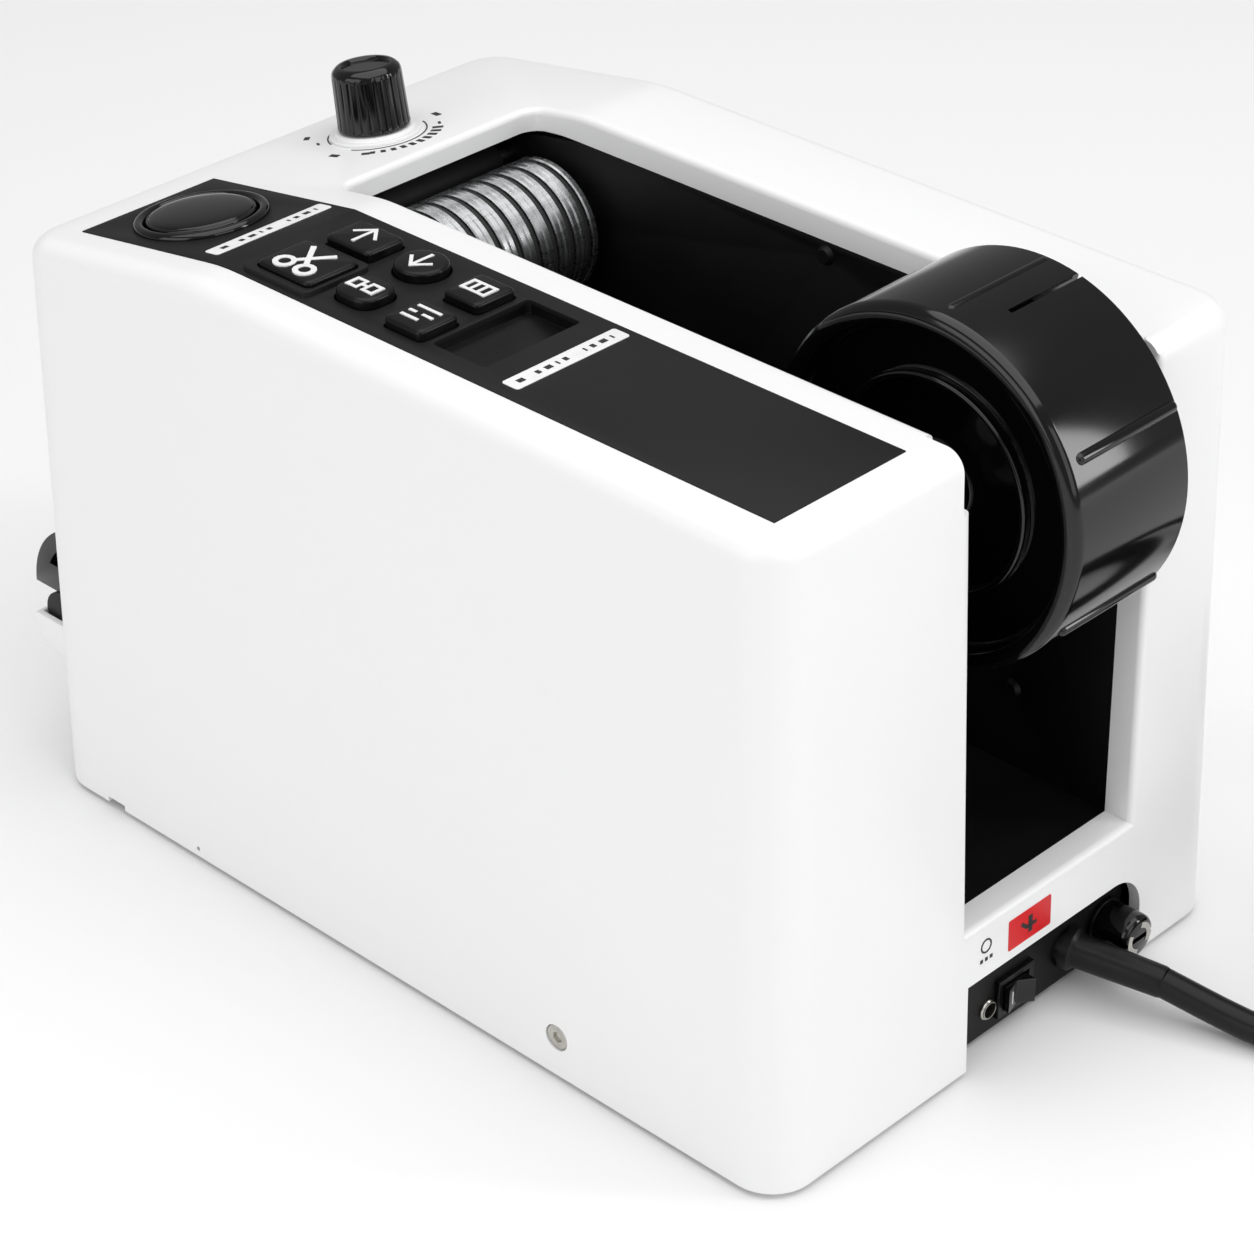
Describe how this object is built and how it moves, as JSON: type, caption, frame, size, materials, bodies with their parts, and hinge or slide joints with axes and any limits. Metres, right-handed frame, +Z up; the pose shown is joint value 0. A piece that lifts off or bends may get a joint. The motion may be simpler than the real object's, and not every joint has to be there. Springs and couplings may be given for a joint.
{
  "type": "electronic tape dispenser",
  "caption": "Bench-top electric tape dispenser: a moulded shell with a reel in an open channel, a motor-driven feed roller, a control panel and a guarded cutter.",
  "frame": {"origin": "on the table, below the middle of the machine without its mains cord", "axes": "+Z up; -Y is the front, where the tape comes out; +X is the side with the control panel"},
  "size_m": [0.2387, 0.3482, 0.1557],
  "materials": {
    "white_abs": "satin moulded ABS",
    "panel_film": "fine matt polyester overlay",
    "black_abs": "semi-gloss moulded ABS",
    "black_gloss": "gloss moulded ABS",
    "window_smoke": "satin smoked acrylic",
    "black_steel": "black powder coat",
    "rubber": "moulded rubber",
    "pvc": "satin flexible PVC",
    "steel": "turned and zinc plated",
    "tool_steel": "ground",
    "aluminium": "turned aluminium",
    "brass": "sintered bronze and brass",
    "nylon": "natural nylon",
    "board_green": "solder mask on glass epoxy",
    "core_iron": "varnished laminations",
    "winding": "polyester tape over copper"
  },
  "bodies": {
    "root": {"housing": "white_abs", "control_panel": "panel_film", "display_window": "window_smoke", "display_module": "board_green", "control_board": "board_green", "start_ring": "black_abs", "release_tab": "black_abs", "base_plate": "black_steel", "feet": "rubber", "far_frame_plate": "black_steel", "near_frame_plate": "black_steel", "channel_floor": "black_steel", "tape_guide": "black_steel", "frame_screws": "black_steel", "side_screws": "steel", "roller_bushes": "brass", "feed_motor": "steel", "press_shaft": "steel", "reel_axle": "steel", "axle_nuts": "steel", "knob_collar": "white_abs", "potentiometer": "steel", "transformer_core": "core_iron", "transformer_coil": "winding", "power_board": "board_green", "pedal_jack": "black_abs", "switch_bezel": "black_abs", "fuse_holder": "black_abs", "cord_grip": "pvc", "mains_cord": "pvc", "cord_coil": "pvc", "plug_lead": "pvc", "mains_plug": "pvc", "plug_pins": "brass", "front_tray": "white_abs", "guard_hinges": "black_abs", "cutter_bar": "black_steel", "fixed_blade": "tool_steel", "cutter_motor": "steel"},
    "feed": {"feed_roller": "aluminium", "roller_rings": "rubber", "roller_shaft": "steel", "feed_gear": "nylon"},
    "motor_gear": {"motor_pinion": "brass"},
    "press": {"press_roller": "rubber"},
    "reel": {"reel_drum": "black_gloss"},
    "knob": {"length_knob": "black_gloss"},
    "cut_button": {"cut_key": "black_abs"},
    "feed_button": {"feed_key": "black_abs"},
    "back_button": {"back_key": "black_abs"},
    "mode_button": {"mode_key": "black_abs"},
    "length_button": {"length_key": "black_abs"},
    "count_button": {"count_key": "black_abs"},
    "start": {"start_button": "black_gloss"},
    "rocker": {"power_rocker": "black_abs"},
    "fuse": {"fuse_cap": "black_abs"},
    "delivery": {"delivery_roller": "black_gloss"},
    "guard": {"finger_guard": "black_abs"},
    "blade": {"moving_blade": "tool_steel"},
    "cutter_gear": {"cutter_pinion": "brass"}
  },
  "joints": [
    {"name": "feed_roller_spin", "type": "hinge", "parent": "root", "child": "feed", "pos_m": [-0.01295, -0.05265, 0.116], "axis": [1, 0, 0], "continuous": true},
    {"name": "motor_pinion_spin", "type": "hinge", "parent": "root", "child": "motor_gear", "pos_m": [-0.0502, -0.02755, 0.116], "axis": [1, 0, 0], "continuous": true},
    {"name": "press_roller_spin", "type": "hinge", "parent": "root", "child": "press", "pos_m": [-0.01295, -0.07015, 0.1255], "axis": [1, 0, 0], "continuous": true},
    {"name": "reel_spin", "type": "hinge", "parent": "root", "child": "reel", "pos_m": [-0.01295, 0.08335, 0.1175], "axis": [1, 0, 0], "continuous": true},
    {"name": "length_knob_turn", "type": "hinge", "parent": "root", "child": "knob", "pos_m": [-0.01295, -0.08019, 0.1369], "axis": [0, -0.1624, 0.9867], "range_deg": [-150, 150]},
    {"name": "start_press", "type": "slide", "parent": "root", "child": "start", "axis": [0, 0.1624, -0.9867], "range_m": [0, 0.0015], "stiffness_N_per_m": 900},
    {"name": "cut_key_press", "type": "slide", "parent": "root", "child": "cut_button", "axis": [0, 0, -1], "range_m": [0, 0.001], "stiffness_N_per_m": 800},
    {"name": "feed_key_press", "type": "slide", "parent": "root", "child": "feed_button", "axis": [0, 0, -1], "range_m": [0, 0.001], "stiffness_N_per_m": 800},
    {"name": "back_key_press", "type": "slide", "parent": "root", "child": "back_button", "axis": [0, 0, -1], "range_m": [0, 0.001], "stiffness_N_per_m": 800},
    {"name": "mode_key_press", "type": "slide", "parent": "root", "child": "mode_button", "axis": [0, 0, -1], "range_m": [0, 0.001], "stiffness_N_per_m": 800},
    {"name": "length_key_press", "type": "slide", "parent": "root", "child": "length_button", "axis": [0, 0, -1], "range_m": [0, 0.001], "stiffness_N_per_m": 800},
    {"name": "count_key_press", "type": "slide", "parent": "root", "child": "count_button", "axis": [0, 0, -1], "range_m": [0, 0.001], "stiffness_N_per_m": 800},
    {"name": "power_rocker_tilt", "type": "hinge", "parent": "root", "child": "rocker", "pos_m": [-0.0075, 0.10635, 0.0088], "axis": [0, 0, 1], "range_deg": [0, 18]},
    {"name": "fuse_cap_turn", "type": "hinge", "parent": "root", "child": "fuse", "pos_m": [-0.0373, 0.10815, 0.0101], "axis": [0, -1, 0], "range_deg": [0, 90]},
    {"name": "delivery_roller_spin", "type": "hinge", "parent": "root", "child": "delivery", "pos_m": [0, -0.10955, 0.0348], "axis": [1, 0, 0], "continuous": true},
    {"name": "finger_guard_lift", "type": "hinge", "parent": "root", "child": "guard", "pos_m": [0, -0.10635, 0.058], "axis": [-1, 0, 0], "range_deg": [0, 70]},
    {"name": "cutter_swing", "type": "hinge", "parent": "root", "child": "blade", "pos_m": [-0.01295, -0.06865, 0.048], "axis": [1, 0, 0], "range_deg": [0, 9.5]},
    {"name": "cutter_pinion_spin", "type": "hinge", "parent": "root", "child": "cutter_gear", "pos_m": [-0.01295, -0.06865, 0.0661], "axis": [1, 0, 0], "range_deg": [-20, 1]}
  ],
  "couplings": [
    {"joint": "motor_pinion_spin", "follows": "feed_roller_spin", "ratio": -2.5714},
    {"joint": "cutter_pinion_spin", "follows": "cutter_swing", "ratio": -2}
  ]
}
